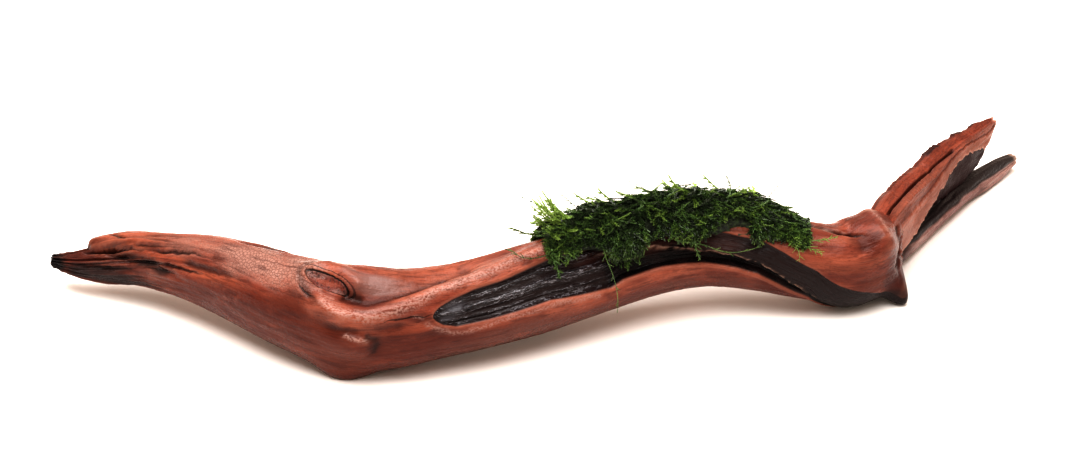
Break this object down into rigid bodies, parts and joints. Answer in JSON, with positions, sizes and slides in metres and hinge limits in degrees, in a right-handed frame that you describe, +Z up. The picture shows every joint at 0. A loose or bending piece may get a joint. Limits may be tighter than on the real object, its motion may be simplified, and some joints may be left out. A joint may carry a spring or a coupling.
{
  "type": "christmas moss on driftwood",
  "caption": "Forked branch of wet red driftwood with a cushion of Christmas moss grown over its middle; lies on a flat surface.",
  "frame": {"origin": "middle of the bounding box's base, on the surface that the wood lies on", "axes": "+X along the branch from its torn tip to its fork, +Y to its back, towards the fork's prongs, +Z up"},
  "size_m": [0.2952, 0.1358, 0.0415],
  "materials": {
    "driftwood": "wet, red-brown, with near-black rotten hollows",
    "moss": "leafy, wet, yellow-green at its edges and dark green within"
  },
  "bodies": {
    "root": {"trunk": "driftwood", "upper_prong": "driftwood", "lower_prong": "driftwood", "moss_mat": "moss", "strand_hanging_front": "moss", "strand_trailing_left": "moss", "strand_swag_front": "moss", "strand_trailing_right": "moss", "strand_lower_right": "moss", "frond_hanging_left": "moss", "frond_hanging_middle": "moss", "frond_hanging_right": "moss", "sprig_left_long": "moss", "sprig_left_low": "moss", "sprig_top_left": "moss", "sprig_top_long": "moss", "sprig_top_middle": "moss", "sprig_top_right": "moss"}
  },
  "joints": []
}
